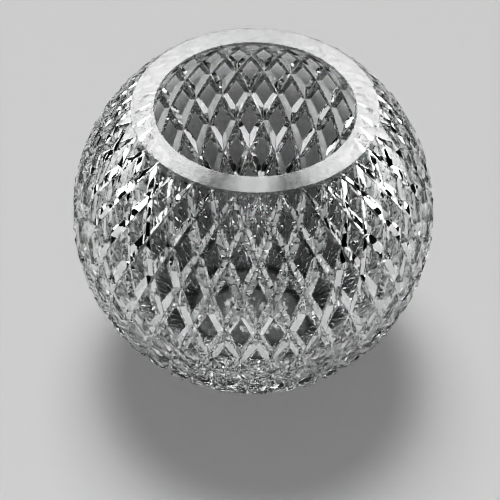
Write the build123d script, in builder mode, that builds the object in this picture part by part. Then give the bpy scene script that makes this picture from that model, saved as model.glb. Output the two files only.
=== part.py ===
from build123d import *
import math
import os

# A rose bowl in cut glass, in millimetres and degrees. The origin is the middle of the face that it stands on.

# The blank, which is the round bowl before it is cut
OUTER_RADIUS = 89.0     # at its widest
WIDEST_HEIGHT = 87.2    # from the table to the widest place
HEIGHT = 155.7          # from the table to the flat rim
RIM_RADIUS = 59.0       # outer edge of the flat rim
BASE_RADIUS = 31.0      # flat face that the bowl stands on

# The hollow
RIM_WIDTH = 12.5        # flat rim, from the mouth to its outer edge
WALL = 7.7              # glass at the widest place, between the hollow and the lozenges
FLOOR = 14.0            # glass under the middle of the hollow
FLOOR_RADIUS = 9.0      # flat middle of the hollow's floor

# The lattice of cut lozenges
COLUMNS = 36            # lozenges round the bowl
ROWS = 11               # rows of groove crossings below the first one, down to the base
PATTERN_TURN = 2.0      # turn of the first column of crossings from the X axis
GROOVE_DEPTH = 2.5      # at the widest place; shallower as the lozenges get smaller
MITRE_ANGLE = 90.0      # between the two flanks of a groove
RUN_OUT_DEPTH = 0.6     # depth of a groove where it ends at the rim and at the base

# The smooth bands beyond the lattice, and the seats where the three zones meet
RIM_BAND = 1.2          # height of the smooth band under the rim
RIM_SEAT = 5.0          # width of the ledge that the rim's outer part sits on
RIM_EDGE = 0.6          # rounding of the rim's two edges
BASE_BAND = 3.0         # height of the smooth band above the base
BASE_SEAT = 6.0         # width of the ledge that the wall stands on


def arc_offset(widest_radius, end_radius, rise):
    """Distance from the axis to the centre of an arc that leaves the widest place upright."""
    return (widest_radius ** 2 - end_radius ** 2 - rise ** 2) / (2 * (widest_radius - end_radius))


mouth_radius = RIM_RADIUS - RIM_WIDTH
hollow_radius = OUTER_RADIUS - WALL
lattice_top = HEIGHT - RIM_BAND
lattice_bottom = BASE_BAND
upper_offset = arc_offset(OUTER_RADIUS, RIM_RADIUS, HEIGHT - WIDEST_HEIGHT)
lower_offset = arc_offset(OUTER_RADIUS, BASE_RADIUS, WIDEST_HEIGHT)
step = 360 / COLUMNS


def polar_at(height):
    """Angle down from straight up, at the arc's centre, to a height on the blank."""
    offset = upper_offset if height > WIDEST_HEIGHT else lower_offset
    return math.degrees(math.acos((height - WIDEST_HEIGHT) / (OUTER_RADIUS - offset)))


def blank_plane(polar, turn):
    """Plane that touches the blank at an angle down from the top and a turn round the axis."""
    down, around = math.radians(polar), math.radians(turn)
    offset = upper_offset if polar < 90 else lower_offset
    arc_radius = OUTER_RADIUS - offset
    radius, height = offset + arc_radius * math.sin(down), WIDEST_HEIGHT + arc_radius * math.cos(down)
    return Plane(
        origin=(radius * math.cos(around), radius * math.sin(around), height),
        z_dir=(math.sin(down) * math.cos(around), math.sin(down) * math.sin(around), math.cos(down)),
    )


def blank_radius(height):
    """Radius of the blank at a height."""
    return blank_plane(polar_at(height), 0).origin.X


# Lattice. Its rows are spaced so that the grooves cross every row at the same slant, as on a sea chart.
def slant_height(polar):
    """Height on the chart of an angle down from the top."""
    return math.log(math.tan(math.radians(polar) / 2))


def row_polar(row):
    """Angle down from the top to a row of groove crossings."""
    first, last = slant_height(polar_at(lattice_top)), slant_height(polar_at(lattice_bottom))
    return 2 * math.degrees(math.atan(math.exp(first + (last - first) * row / ROWS)))


def crossing(row, turn):
    """Point at the bottom of the grooves where two of them cross."""
    if row in (0, ROWS):
        height = lattice_top if row == 0 else lattice_bottom
        return Vector(blank_radius(height) - RUN_OUT_DEPTH, 0, height).rotate(Axis.Z, turn)
    polar = row_polar(row)
    touch = blank_plane(polar, turn)
    return touch.origin - touch.z_dir * GROOVE_DEPTH * math.sin(math.radians(polar))


def flank(upper_row, upper_turn, lower_turn, centre):
    """Plane of a groove's flank, from one crossing to the next, on the side of a lozenge's centre."""
    upper, lower = crossing(upper_row, upper_turn), crossing(upper_row + 1, lower_turn)
    along = (lower - upper).normalized()
    middle_polar = (row_polar(upper_row) + row_polar(upper_row + 1)) / 2
    normal = blank_plane(middle_polar, (upper_turn + lower_turn) / 2).z_dir
    outward = (normal - along * normal.dot(along)).normalized()
    sideways = along.cross(outward)
    if sideways.dot(centre - upper) < 0:
        sideways = -sideways
    half_angle = math.radians(MITRE_ANGLE / 2)
    slope = sideways * math.sin(half_angle) + outward * math.cos(half_angle)
    return Plane(origin=upper, x_dir=along, z_dir=along.cross(slope))


def meeting(first, second, third):
    """Point where three planes meet."""
    return first.intersect(second).intersect(third)


def facet(*corners):
    """Flat facet with the given corners."""
    return Face(Wire.make_polygon(corners))


def lozenge(row, turn):
    """Facets of one lozenge round its centre, cut short by the end of the lattice at the first and last row."""
    table = blank_plane(row_polar(row), turn)
    centre = table.origin
    left, right = turn - step / 2, turn + step / 2
    upper_left = upper_right = Plane.XY.offset(lattice_top)
    lower_left = lower_right = Plane.XY.offset(lattice_bottom)
    if row > 0:
        upper_left, upper_right = (flank(row - 1, turn, side, centre) for side in (left, right))
    if row < ROWS:
        lower_left, lower_right = (flank(row, side, turn, centre) for side in (left, right))
    table_left = meeting(upper_left, lower_left, table)
    table_right = meeting(upper_right, lower_right, table)
    table_corners = [table_left]
    facets = []
    if row > 0:
        top, table_top = crossing(row - 1, turn), meeting(upper_left, upper_right, table)
        table_corners += [table_top]
        facets += [facet(top, crossing(row, left), table_left, table_top)]
        facets += [facet(top, table_top, table_right, crossing(row, right))]
    table_corners += [table_right]
    if row < ROWS:
        bottom, table_bottom = crossing(row + 1, turn), meeting(lower_left, lower_right, table)
        table_corners += [table_bottom]
        facets += [facet(bottom, table_bottom, table_left, crossing(row, left))]
        facets += [facet(bottom, crossing(row, right), table_right, table_bottom)]
    facets += [facet(*table_corners)]
    return facets, [crossing(row, left), table_left, table_right]


def centre_turn(row):
    """Turn of a row's first lozenge: the rows are staggered by half a step."""
    return PATTERN_TURN + (step / 2 if row % 2 == 0 else 0)


ring = PolarLocations(0, COLUMNS)
column = [piece for row in range(ROWS + 1) for piece in lozenge(row, centre_turn(row))[0]]
facets = [place * piece for place in ring for piece in column]
for end_row in (0, ROWS):
    notch = lozenge(end_row, centre_turn(end_row))[1]
    facets += [facet(*[corner.rotate(Axis.Z, step * turn) for turn in range(COLUMNS) for corner in notch])]
cut_blank = Solid(Shell(facets))


# Half sections of the blank and the hollow, from the axis outwards
def half_section(widest_radius, rim_radius, foot_radius, foot_height):
    """Half section with one arc from the widest place up to the rim and another down to the foot."""
    with BuildSketch() as section:
        with BuildLine():
            above = TangentArc((widest_radius, WIDEST_HEIGHT), (rim_radius, HEIGHT), tangent=(0, 1))
            below = TangentArc((widest_radius, WIDEST_HEIGHT), (foot_radius, foot_height), tangent=(0, -1))
            Polyline(above @ 1, (0, HEIGHT), (0, foot_height), below @ 1)
        make_face()
    return section.sketch


def upright(radius, low, high):
    """Half section of a plain cylinder between two heights."""
    with BuildSketch() as section:
        with Locations((0, low)):
            Rectangle(radius, high - low, align=Align.MIN)
    return section.sketch


blank = half_section(OUTER_RADIUS, RIM_RADIUS, BASE_RADIUS, 0)
hollow = half_section(hollow_radius, mouth_radius, FLOOR_RADIUS, FLOOR)
collar = upright(blank_radius(lattice_top) - RIM_SEAT, WIDEST_HEIGHT, HEIGHT)
plug = upright(blank_radius(lattice_bottom) - BASE_SEAT, 0, WIDEST_HEIGHT)

# Rim: the polished ring, with a ledge outside and a collar that reaches down inside the wall
with BuildPart() as rim:
    with BuildSketch(Plane.XZ):
        add(upright(OUTER_RADIUS, lattice_top, HEIGHT))
        add(collar)
        add(blank, mode=Mode.INTERSECT)
        add(hollow, mode=Mode.SUBTRACT)
    revolve(axis=Axis.Z)
    fillet(rim.edges().group_by(Axis.Z)[-1], RIM_EDGE)
rim.part.label = "rim"

# Base: the thick bottom, with a flange under the wall and a plug that carries the hollow's floor
with BuildPart() as base:
    with BuildSketch(Plane.XZ):
        add(upright(OUTER_RADIUS, 0, lattice_bottom))
        add(plug)
        add(blank, mode=Mode.INTERSECT)
        add(hollow, mode=Mode.SUBTRACT)
    revolve(axis=Axis.Z)
base.part.label = "base"

# Cut wall: the faceted blank between the two bands, hollowed, with room for the collar and the plug
with BuildPart() as cut_wall:
    add(cut_blank)
    with BuildSketch(Plane.XZ):
        add(hollow)
        add(collar)
        add(plug)
    revolve(axis=Axis.Z, mode=Mode.SUBTRACT)
cut_wall.part.label = "cut_wall"

os.makedirs("parts", exist_ok=True)
export_step(rim.part, "parts/rim.step")
export_step(cut_wall.part, "parts/cut_wall.step")
export_step(base.part, "parts/base.step")
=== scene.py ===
import math

import bmesh
import bpy
import numpy as np
from mathutils import Matrix, Vector


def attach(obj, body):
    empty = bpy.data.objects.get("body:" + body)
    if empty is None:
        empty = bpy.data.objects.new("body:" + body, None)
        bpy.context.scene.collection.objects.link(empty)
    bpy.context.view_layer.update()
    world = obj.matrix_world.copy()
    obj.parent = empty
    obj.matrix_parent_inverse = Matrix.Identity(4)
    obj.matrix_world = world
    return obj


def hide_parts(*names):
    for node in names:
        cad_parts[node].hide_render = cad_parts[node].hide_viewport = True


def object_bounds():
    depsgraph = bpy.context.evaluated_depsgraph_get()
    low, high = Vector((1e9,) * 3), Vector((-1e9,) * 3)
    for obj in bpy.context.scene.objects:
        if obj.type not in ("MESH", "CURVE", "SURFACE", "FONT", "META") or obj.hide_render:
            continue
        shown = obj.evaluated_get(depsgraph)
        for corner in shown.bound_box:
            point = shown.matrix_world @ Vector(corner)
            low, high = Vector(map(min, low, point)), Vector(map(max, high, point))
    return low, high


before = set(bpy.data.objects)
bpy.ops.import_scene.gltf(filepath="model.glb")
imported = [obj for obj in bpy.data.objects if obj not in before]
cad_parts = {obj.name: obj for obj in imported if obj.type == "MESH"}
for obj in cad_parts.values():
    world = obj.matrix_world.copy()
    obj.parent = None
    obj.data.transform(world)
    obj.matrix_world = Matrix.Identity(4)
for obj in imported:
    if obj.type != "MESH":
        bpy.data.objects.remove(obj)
cad_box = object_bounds()

# Sizes of the bowl in metres, as in the CAD model
HEIGHT = cad_box[1][2]          # from the floor to the flat rim
OUTER_RADIUS = 0.0890           # uncut blank at its widest
WIDEST_HEIGHT = 0.0872          # from the floor to the widest place
RIM_RADIUS = 0.0590             # outer edge of the flat rim
RIM_WIDTH = 0.0125              # from the mouth to the rim's outer edge
BASE_RADIUS = 0.0310            # flat face that the bowl stands on
WALL = 0.0077                   # glass at the widest place
FLOOR = 0.0140                  # glass under the middle of the hollow
FLOOR_RADIUS = 0.0090           # flat middle of the hollow's floor
RIM_BAND = 0.0012               # smooth band between the rim and the lattice
BASE_BAND = 0.0030              # smooth band between the lattice and the base
RIM_EDGE = 0.0006               # rounding of the rim's two edges

# The lattice of cut lozenges
COLUMNS = 36                    # lozenges round the bowl
ROWS = 11                       # rows of groove crossings below the first one
PATTERN_TURN = 2.0              # degrees, of the first column of crossings from the X axis
GROOVE_DEPTH = 0.0025           # at the widest place
MITRE_ANGLE = 90.0              # degrees, between the flanks of a groove
RUN_OUT_DEPTH = 0.0006          # of a groove where it ends
POLISH_WIDTH = 0.00022          # softening of the cut edges
POLISH_PARTS = 2                # faces across a softened edge

# How finely the round surfaces are divided
TABLE_PARTS = 4                 # along a lozenge's straight end at the rim or the base
NOTCH_PARTS = 2                 # from a groove's end to a lozenge's corner
ARC_PARTS = 26                  # up or down each half of the hollow
EDGE_PARTS = 5                  # round the rim's edges
BASE_RING = 0.5                 # inner ring of the base face, as a share of its radius
WELD = 0.000002                 # points nearer than this are one

# Finish of the glass
GLASS_IOR = 1.545               # lead glass
GLASS_TINT = (0.945, 0.95, 0.95)
CUT_ROUGHNESS = (0.0, 0.02)     # least and most, between the spots where the polish differs
SMOOTH_ROUGHNESS = (0.0, 0.015)
RIM_ROUGHNESS = (0.10, 0.20)
BASE_ROUGHNESS = (0.01, 0.05)
MARKS_SCALE = 160.0             # per metre, of those spots
MARKS_DETAIL = 4.0
WAVE_SCALE = 130.0              # per metre, of the waves inside the bowl
WAVE_DETAIL = 1.0
WAVE_HEIGHT = 0.0002            # of those waves
RING_SCALE = 260.0              # of the wheel's rings on the rim and the base, 1.2 mm apart
RING_HEIGHT = 0.000016          # of those rings
RING_DISTORTION = 3.0
RING_DETAIL = 2.0

# The stage: its floor, and a sheet just above the floor that shows only through the glass
STAGE_ROUGHNESS = 0.6
STAGE_SIZE, STAGE_HEIGHT, STAGE_COLOUR = 20.0, -0.0006, (0.6, 0.6, 0.6)
# The sheet's colour is painted paler than the floor's, to make up for the even fill light that only the floor
# gets.
THROUGH_SIZE, THROUGH_HEIGHT, THROUGH_PAINTED_FILL_COLOUR = 1.1, -0.0004, (0.95, 0.95, 0.95)
PAINTED_POOL_REACH = (0.028, 0.036)     # distance from the axis over which the painted pool of light under the base fades out
PAINTED_POOL_GLOW = 0.20                # brightness of that painted glow in the middle

# Even lights for the floor: azimuth, elevation and spread in degrees, and strength
FLOOR_SUN = (100, 66, 30, 0.85)
FLOOR_FILL = (270, 60, 14, 1.70)

# Softboxes: width and height, azimuth and elevation in degrees, distance, and radiance
THROUGH_KEY = ((0.6, 0.4), 270, 42, 1.6, 12.0)
GLASS_LIGHTS = {
    "rim_softbox": ((0.5, 0.22), 90, 39.8, 1.55, 5.2),
    "rim_upper": ((0.5, 0.14), 90, 46.7, 1.55, 4.2),
    "left_strip": ((1.1, 0.35), 165, 9, 1.1, 2.2),
    "right_strip": ((1.1, 0.35), 15, 9, 1.1, 2.2),
    "back_strip": ((1.2, 0.25), 90, 7, 1.2, 1.0),
    "front_softbox": ((1.0, 1.2), 270, 52, 1.5, 0.5),
    "front_strip": ((1.4, 0.4), 270, 16, 1.4, 0.35),
}
WORLD_COLOUR = (0.03, 0.03, 0.03)

# Materials of the glass mesh, by slot number
CUT, SMOOTH, RIM, BASE = range(4)

STEP = 2 * math.pi / COLUMNS
MOUTH_RADIUS = RIM_RADIUS - RIM_WIDTH
HOLLOW_RADIUS = OUTER_RADIUS - WALL
LATTICE_TOP = HEIGHT - RIM_BAND


# The blank's outline: two arcs that are upright at the widest place
def arc_offset(widest_radius, end_radius, rise):
    """Distance from the axis to the centre of an arc that leaves the widest place upright."""
    return (widest_radius ** 2 - end_radius ** 2 - rise ** 2) / (2 * (widest_radius - end_radius))


UPPER_OFFSET = arc_offset(OUTER_RADIUS, RIM_RADIUS, HEIGHT - WIDEST_HEIGHT)
LOWER_OFFSET = arc_offset(OUTER_RADIUS, BASE_RADIUS, WIDEST_HEIGHT)


def polar_at(height):
    """Angle down from straight up to a height on the blank."""
    offset = UPPER_OFFSET if height > WIDEST_HEIGHT else LOWER_OFFSET
    return math.acos((height - WIDEST_HEIGHT) / (OUTER_RADIUS - offset))


def blank_plane(polar, turn):
    """Point and outward normal of the blank at an angle down from the top and a turn round the axis."""
    offset = UPPER_OFFSET if polar < math.pi / 2 else LOWER_OFFSET
    arc_radius = OUTER_RADIUS - offset
    radius = offset + arc_radius * math.sin(polar)
    across = np.array([math.cos(turn), math.sin(turn), 0.0])
    upward = np.array([0.0, 0.0, 1.0])
    point = across * radius + upward * (WIDEST_HEIGHT + arc_radius * math.cos(polar))
    return point, across * math.sin(polar) + upward * math.cos(polar)


def blank_radius(height):
    """Radius of the blank at a height."""
    return blank_plane(polar_at(height), 0.0)[0][0]


# The lattice: rows of groove crossings with lozenges between them
def chart_height(polar):
    """Height of an angle on a chart on which the grooves are straight."""
    return math.log(math.tan(polar / 2))


def row_polar(row):
    """Angle down from the top to a row of groove crossings."""
    first, last = chart_height(polar_at(LATTICE_TOP)), chart_height(polar_at(BASE_BAND))
    return 2 * math.atan(math.exp(first + (last - first) * row / ROWS))


def crossing(row, turn):
    """Point at the bottom of the grooves where two of them cross."""
    if row in (0, ROWS):
        height = LATTICE_TOP if row == 0 else BASE_BAND
        radius = blank_radius(height) - RUN_OUT_DEPTH
        return np.array([radius * math.cos(turn), radius * math.sin(turn), height])
    polar = row_polar(row)
    point, normal = blank_plane(polar, turn)
    return point - normal * GROOVE_DEPTH * math.sin(polar)


def unit(vector):
    """Vector of length one."""
    return vector / np.linalg.norm(vector)


def flank(upper_row, upper_turn, lower_turn, centre):
    """Plane of a groove's flank on the side of a lozenge's centre."""
    upper, lower = crossing(upper_row, upper_turn), crossing(upper_row + 1, lower_turn)
    along = unit(lower - upper)
    middle = (row_polar(upper_row) + row_polar(upper_row + 1)) / 2
    normal = blank_plane(middle, (upper_turn + lower_turn) / 2)[1]
    outward = unit(normal - along * normal.dot(along))
    sideways = np.cross(along, outward)
    if sideways.dot(centre - upper) < 0:
        sideways = -sideways
    half_angle = math.radians(MITRE_ANGLE / 2)
    slope = sideways * math.sin(half_angle) + outward * math.cos(half_angle)
    return upper, unit(np.cross(along, slope))


def meeting(*planes):
    """Point where three planes meet."""
    normals = np.array([normal for _, normal in planes])
    return np.linalg.solve(normals, [normal.dot(point) for point, normal in planes])


def divided(start, end, parts):
    """Points from start up to, but without, end."""
    return [start + (end - start) * part / parts for part in range(parts)]


def lozenge(row, turn):
    """Facets of one lozenge, each a list of points, and the straight end that the lattice's edge gives it."""
    table = blank_plane(row_polar(row), turn)
    left, right = turn - STEP / 2, turn + STEP / 2
    level = np.array([0.0, 0.0, 1.0])
    upper = [(np.array([0.0, 0.0, LATTICE_TOP]), level)] * 2
    lower = [(np.array([0.0, 0.0, BASE_BAND]), level)] * 2
    if row > 0:
        upper = [flank(row - 1, turn, side, table[0]) for side in (left, right)]
    if row < ROWS:
        lower = [flank(row, side, turn, table[0]) for side in (left, right)]
    side_points = [crossing(row, left), crossing(row, right)]
    corners = [meeting(upper[side], lower[side], table) for side in (0, 1)]
    if 0 < row < ROWS:
        top, bottom = crossing(row - 1, turn), crossing(row + 1, turn)
        table_top, table_bottom = meeting(*upper, table), meeting(*lower, table)
        facets = [[corners[0], table_top, corners[1], table_bottom]]
        for side in (0, 1):
            facets.append([top, side_points[side], corners[side], table_top])
            facets.append([bottom, side_points[side], corners[side], table_bottom])
        return facets, []
    tip = crossing(1 if row == 0 else ROWS - 1, turn)
    table_tip = meeting(*(lower if row == 0 else upper), table)
    edge = divided(corners[0], corners[1], TABLE_PARTS)
    notches = [divided(side_points[side], corners[side], NOTCH_PARTS) for side in (0, 1)]
    facets = [edge + [corners[1], table_tip]]
    for side in (0, 1):
        facets.append(notches[side] + [corners[side], table_tip, tip])
    return facets, notches[0] + edge + divided(corners[1], side_points[1], NOTCH_PARTS)


def centre_turn(row):
    """Turn of a row's first lozenge: the rows are staggered by half a step."""
    return math.radians(PATTERN_TURN) + (STEP / 2 if row % 2 == 0 else 0.0)


def turned(point, turn):
    """Point turned round the bowl's axis."""
    x, y, z = point
    return (x * math.cos(turn) - y * math.sin(turn), x * math.sin(turn) + y * math.cos(turn), z)


# Round surfaces: outlines that run from one loop of the lattice to the other through the hollow
def arc_points(centre, radius, start, end, parts):
    """Points of an arc in the half section, from one angle to another."""
    angles = [start + (end - start) * part / parts for part in range(parts + 1)]
    return [(centre[0] + radius * math.cos(a), centre[1] + radius * math.sin(a)) for a in angles]


def rounded(before, corner, after, radius):
    """Points that round a corner of the half section."""
    corner = Vector(corner)
    towards = [(Vector(point) - corner).normalized() for point in (before, after)]
    half = towards[0].angle(towards[1]) / 2
    reach = radius / math.tan(half)
    centre = corner + (towards[0] + towards[1]).normalized() * radius / math.sin(half)
    first, last = corner + towards[0] * reach - centre, corner + towards[1] * reach - centre
    turn = first.angle_signed(last)
    turns = [-turn * part / EDGE_PARTS for part in range(EDGE_PARTS + 1)]
    return [tuple(centre + Matrix.Rotation(angle, 2) @ first) for angle in turns]


def hollow_outline():
    """Half section of the hollow, from the mouth to the middle of its floor."""
    upper = arc_offset(HOLLOW_RADIUS, MOUTH_RADIUS, HEIGHT - WIDEST_HEIGHT)
    lower = arc_offset(HOLLOW_RADIUS, FLOOR_RADIUS, WIDEST_HEIGHT - FLOOR)
    to_mouth = math.atan2(HEIGHT - WIDEST_HEIGHT, MOUTH_RADIUS - upper)
    to_floor = math.atan2(FLOOR - WIDEST_HEIGHT, FLOOR_RADIUS - lower)
    above = arc_points((upper, WIDEST_HEIGHT), HOLLOW_RADIUS - upper, to_mouth, 0.0, ARC_PARTS)
    below = arc_points((lower, WIDEST_HEIGHT), HOLLOW_RADIUS - lower, 0.0, to_floor, ARC_PARTS)
    return above[1:] + below[1:]


def rim_outline(hollow):
    """Half section of the rim, from its smooth band to the first point of the hollow below the mouth."""
    outer, mouth = (RIM_RADIUS, HEIGHT), (MOUTH_RADIUS, HEIGHT)
    band = (blank_radius(LATTICE_TOP), LATTICE_TOP)
    return rounded(band, outer, mouth, RIM_EDGE), rounded(outer, mouth, hollow[0], RIM_EDGE)


def base_outline():
    """Half section of the base below the lattice, towards the axis."""
    return [(BASE_RADIUS, 0.0), (BASE_RADIUS * BASE_RING, 0.0)]


def ring_rows(mesh, loop, outline, slots):
    """Sweeps an outline round the axis from a loop of points, and closes it on the axis."""
    turns = [math.atan2(vert.co.y, vert.co.x) for vert in loop]
    count = len(loop)
    last_height = None
    for (radius, height), slot in zip(outline, slots):
        ring = [mesh.verts.new((radius * math.cos(t), radius * math.sin(t), height)) for t in turns]
        for i in range(count):
            face = mesh.faces.new((loop[i], loop[(i + 1) % count], ring[(i + 1) % count], ring[i]))
            face.material_index = slot
            face.smooth = last_height is not None and abs(height - last_height) > WELD
        loop, last_height = ring, height
    middle = mesh.verts.new((0.0, 0.0, outline[-1][1]))
    for i in range(count):
        face = mesh.faces.new((loop[i], loop[(i + 1) % count], middle))
        face.material_index = slots[-1]


def glass_mesh():
    """The whole bowl as one closed mesh."""
    mesh = bmesh.new()
    loops = {}
    for row in range(ROWS + 1):
        facets, edge = lozenge(row, centre_turn(row))
        for column in range(COLUMNS):
            for points in facets:
                verts = [mesh.verts.new(turned(point, column * STEP)) for point in points]
                mesh.faces.new(verts).material_index = CUT
        if edge:
            loops[row] = [turned(point, column * STEP) for column in range(COLUMNS) for point in edge]
    hollow = hollow_outline()
    outer_edge, mouth_edge = rim_outline(hollow)
    top = outer_edge + mouth_edge + hollow
    top_slots = [RIM] * (len(outer_edge) + len(mouth_edge)) + [SMOOTH] * len(hollow)
    ring_rows(mesh, [mesh.verts.new(point) for point in loops[0]], top, top_slots)
    bottom = base_outline()
    ring_rows(mesh, [mesh.verts.new(point) for point in loops[ROWS]], bottom, [BASE] * len(bottom))
    bmesh.ops.remove_doubles(mesh, verts=mesh.verts, dist=WELD)
    bmesh.ops.recalc_face_normals(mesh, faces=mesh.faces)
    cut_edges = [e for e in mesh.edges if all(f.material_index == CUT for f in e.link_faces)]
    bmesh.ops.bevel(mesh, geom=cut_edges, offset=POLISH_WIDTH, segments=POLISH_PARTS, profile=0.5,
                    affect="EDGES", clamp_overlap=True, material=-1)
    data = bpy.data.meshes.new("rose_bowl")
    mesh.to_mesh(data)
    mesh.free()
    return data


# Materials
def glass(name, roughness):
    """Clear lead glass, with a polish that differs a little from spot to spot."""
    material = bpy.data.materials.new(name)
    material.use_nodes = True
    nodes, links = material.node_tree.nodes, material.node_tree.links
    shader = nodes["Principled BSDF"]
    shader.inputs["Base Color"].default_value = (*GLASS_TINT, 1.0)
    shader.inputs["Transmission Weight"].default_value = 1.0
    shader.inputs["IOR"].default_value = GLASS_IOR
    place = nodes.new("ShaderNodeTexCoord")
    marks = nodes.new("ShaderNodeTexNoise")
    marks.inputs["Scale"].default_value = MARKS_SCALE
    marks.inputs["Detail"].default_value = MARKS_DETAIL
    polish = nodes.new("ShaderNodeMapRange")
    polish.inputs["To Min"].default_value, polish.inputs["To Max"].default_value = roughness
    links.new(place.outputs["Object"], marks.inputs["Vector"])
    links.new(marks.outputs["Fac"], polish.inputs["Value"])
    links.new(polish.outputs["Result"], shader.inputs["Roughness"])
    return material


def relief(material, texture, output, height):
    """Raises a texture's output on a material's surface, up to a height in metres."""
    nodes, links = material.node_tree.nodes, material.node_tree.links
    bump = nodes.new("ShaderNodeBump")
    bump.inputs["Distance"].default_value = height
    links.new(nodes["Texture Coordinate"].outputs["Object"], texture.inputs["Vector"])
    links.new(texture.outputs[output], bump.inputs["Height"])
    links.new(bump.outputs["Normal"], nodes["Principled BSDF"].inputs["Normal"])
    return material


def blown_glass():
    """The inside of the bowl, with the slow waves of blown glass."""
    material = glass("blown_glass", SMOOTH_ROUGHNESS)
    waves = material.node_tree.nodes.new("ShaderNodeTexNoise")
    waves.inputs["Scale"].default_value = WAVE_SCALE
    waves.inputs["Detail"].default_value = WAVE_DETAIL
    return relief(material, waves, "Fac", WAVE_HEIGHT)


def ground_glass(name, roughness):
    """A face ground flat on a wheel and polished, with the faint rings that the wheel leaves."""
    material = glass(name, roughness)
    rings = material.node_tree.nodes.new("ShaderNodeTexWave")
    rings.wave_type, rings.rings_direction = "RINGS", "Z"
    rings.inputs["Scale"].default_value = RING_SCALE
    rings.inputs["Distortion"].default_value = RING_DISTORTION
    rings.inputs["Detail"].default_value = RING_DETAIL
    return relief(material, rings, "Fac", RING_HEIGHT)


def plain(name, colour):
    """Matt surface for the floor."""
    material = bpy.data.materials.new(name)
    material.use_nodes = True
    shader = material.node_tree.nodes["Principled BSDF"]
    shader.inputs["Base Color"].default_value = (*colour, 1.0)
    shader.inputs["Roughness"].default_value = STAGE_ROUGHNESS
    return material


def painted_pool_floor(name, colour):
    """Matt floor with a painted pool of light under the bowl's base, a glow that stands in for the light the
    bowl gathers there and the renderer leaves out.
    """
    material = plain(name, colour)
    nodes, links = material.node_tree.nodes, material.node_tree.links
    shader = nodes["Principled BSDF"]
    shader.inputs["Emission Color"].default_value = (1.0, 1.0, 1.0, 1.0)
    place = nodes.new("ShaderNodeTexCoord")
    radius = nodes.new("ShaderNodeVectorMath")
    radius.operation = "LENGTH"
    painted_pool = nodes.new("ShaderNodeMapRange")
    painted_pool.interpolation_type = "SMOOTHSTEP"
    painted_pool.inputs["From Min"].default_value, painted_pool.inputs["From Max"].default_value = PAINTED_POOL_REACH
    painted_pool.inputs["To Min"].default_value, painted_pool.inputs["To Max"].default_value = PAINTED_POOL_GLOW, 0.0
    links.new(place.outputs["Object"], radius.inputs[0])
    links.new(radius.outputs["Value"], painted_pool.inputs["Value"])
    # Painted light: the floor glows under the base, though it is no lamp.
    links.new(painted_pool.outputs["Result"], shader.inputs["Emission Strength"])
    return material


# The bowl
bowl = bpy.data.objects.new("rose_bowl", glass_mesh())
bpy.context.scene.collection.objects.link(bowl)
bowl.data.materials.append(glass("cut_glass", CUT_ROUGHNESS))
bowl.data.materials.append(blown_glass())
bowl.data.materials.append(ground_glass("rim_glass", RIM_ROUGHNESS))
bowl.data.materials.append(ground_glass("base_glass", BASE_ROUGHNESS))
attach(bowl, "root")
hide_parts("rim", "cut_wall", "base")


# The stage
def sheet(name, size, height, material):
    """Level square round the bowl's axis."""
    half = size / 2
    corners = [(-half, -half, 0), (half, -half, 0), (half, half, 0), (-half, half, 0)]
    data = bpy.data.meshes.new(name)
    data.from_pydata(corners, [], [(0, 1, 2, 3)])
    data.materials.append(material)
    obj = bpy.data.objects.new(name, data)
    obj.location = (0.0, 0.0, height)
    bpy.context.scene.collection.objects.link(obj)
    return obj


def direction(azimuth, elevation):
    """Direction from the bowl to a light, from two angles in degrees."""
    around, up = math.radians(azimuth), math.radians(elevation)
    return Vector((math.cos(up) * math.cos(around), math.cos(up) * math.sin(around), math.sin(up)))


def softbox(name, size, azimuth, elevation, distance, radiance):
    """Soft light of a given radiance, placed by angles in degrees round the bowl's middle and aimed at it."""
    outward = direction(azimuth, elevation)
    light = bpy.data.lights.new(name, "AREA")
    light.shape = "RECTANGLE"
    light.size, light.size_y = size
    light.energy = radiance * math.pi * size[0] * size[1]
    lamp = bpy.data.objects.new(name, light)
    lamp.location = Vector((0.0, 0.0, HEIGHT / 2)) + outward * distance
    lamp.rotation_euler = outward.to_track_quat("Z", "Y").to_euler()
    bpy.context.scene.collection.objects.link(lamp)
    return lamp


def sun(name, azimuth, elevation, spread, strength):
    """Even light from far away, placed by angles in degrees like a softbox."""
    light = bpy.data.lights.new(name, "SUN")
    light.energy, light.angle = strength, math.radians(spread)
    lamp = bpy.data.objects.new(name, light)
    lamp.rotation_euler = direction(azimuth, elevation).to_track_quat("Z", "Y").to_euler()
    bpy.context.scene.collection.objects.link(lamp)
    return lamp


def shine_only_on(lamp, *objects):
    """Keeps a lamp's light to the given objects."""
    lit = bpy.data.collections.new(lamp.name + "_lit")
    for obj in objects:
        lit.objects.link(obj)
    lamp.light_linking.receiver_collection = lit


# The floor, and the sheet that shows only through the glass
floor = sheet("floor", STAGE_SIZE, STAGE_HEIGHT, plain("pale_floor", STAGE_COLOUR))
floor.visible_transmission = False
# The sheet under the glass carries a painted pool of light under the bowl's base.
through = sheet("floor_through_glass", THROUGH_SIZE, THROUGH_HEIGHT,
                painted_pool_floor("floor_under_glass_painted_glow", THROUGH_PAINTED_FILL_COLOUR))
through.visible_camera = through.visible_diffuse = False
through.visible_glossy = through.visible_shadow = False

# Lights for the floor alone, one of them without shadow, because the bowl lets light through
shine_only_on(sun("floor_sun", *FLOOR_SUN), floor)
floor_fill = sun("floor_fill", *FLOOR_FILL)
floor_fill.data.use_shadow = False
shine_only_on(floor_fill, floor)

# Lights for the glass and for the floor that shows through it
shine_only_on(softbox("through_key", *THROUGH_KEY), through)
for light_name, setting in GLASS_LIGHTS.items():
    shine_only_on(softbox(light_name, *setting), bowl, through)

world = bpy.data.worlds.new("studio")
world.use_nodes = True
world.node_tree.nodes["Background"].inputs["Color"].default_value = (*WORLD_COLOUR, 1.0)
bpy.context.scene.world = world

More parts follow.
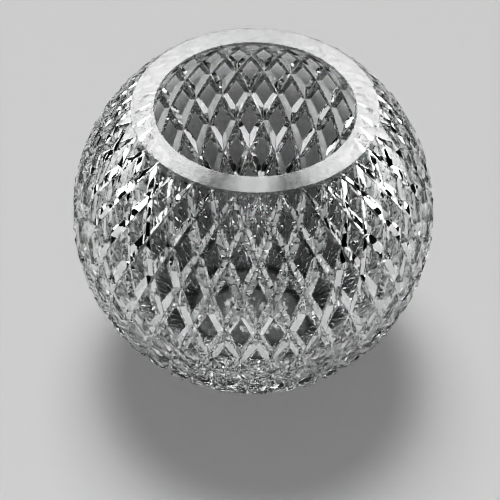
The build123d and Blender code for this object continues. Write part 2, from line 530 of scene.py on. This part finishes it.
# Camera: the photo's angle, distance and framing, in a picture of 500 by 500
PICTURE = 500.0
SENSOR_WIDTH = 36.0
FOCAL_PIXELS = 2007.7
TARGET_PIXEL = (252.8, 225.2)
CAMERA_ELEVATION = math.radians(44.38)
CAMERA_ROLL = math.radians(1.18)
CAMERA_DISTANCE = 11.284 * OUTER_RADIUS
TARGET_HEIGHT = 0.87 * OUTER_RADIUS

lens = bpy.data.cameras.new("camera")
lens.sensor_width = SENSOR_WIDTH
lens.lens = FOCAL_PIXELS / PICTURE * SENSOR_WIDTH
lens.shift_x = -(TARGET_PIXEL[0] - PICTURE / 2) / PICTURE
lens.shift_y = (TARGET_PIXEL[1] - PICTURE / 2) / PICTURE
camera = bpy.data.objects.new("camera", lens)
backward = Vector((0.0, -math.cos(CAMERA_ELEVATION), math.sin(CAMERA_ELEVATION)))
rightward = Vector((1.0, 0.0, 0.0))
upward = backward.cross(rightward)
tilted_right = rightward * math.cos(CAMERA_ROLL) + upward * math.sin(CAMERA_ROLL)
tilted_up = backward.cross(tilted_right)
turning = Matrix((tilted_right, tilted_up, backward)).transposed().to_4x4()
standpoint = Vector((0.0, 0.0, TARGET_HEIGHT)) + backward * CAMERA_DISTANCE
camera.matrix_world = Matrix.Translation(standpoint) @ turning
bpy.context.scene.collection.objects.link(camera)
bpy.context.scene.camera = camera

# Light paths: many passes through the glass, and no caustics, so that its shadow stays dark seen through it
cycles = bpy.context.scene.cycles
cycles.max_bounces = 32
cycles.transmission_bounces = 32
cycles.glossy_bounces = 16
cycles.diffuse_bounces = 3
cycles.caustics_refractive = False
cycles.caustics_reflective = False

# Contrast of the print: scene brightness and the brightness that it is shown with
TONES = ((0.10, 0.012), (0.20, 0.065), (0.30, 0.23), (0.42, 0.54), (0.62, 0.85))
ALL_COLOURS = 3                 # number of the curve that acts on red, green and blue alike
view = bpy.context.scene.view_settings
view.view_transform = "Standard"
view.use_curve_mapping = True
for seen, shown in TONES:
    view.curve_mapping.curves[ALL_COLOURS].points.new(seen, shown).handle_type = "AUTO_CLAMPED"
view.curve_mapping.update()
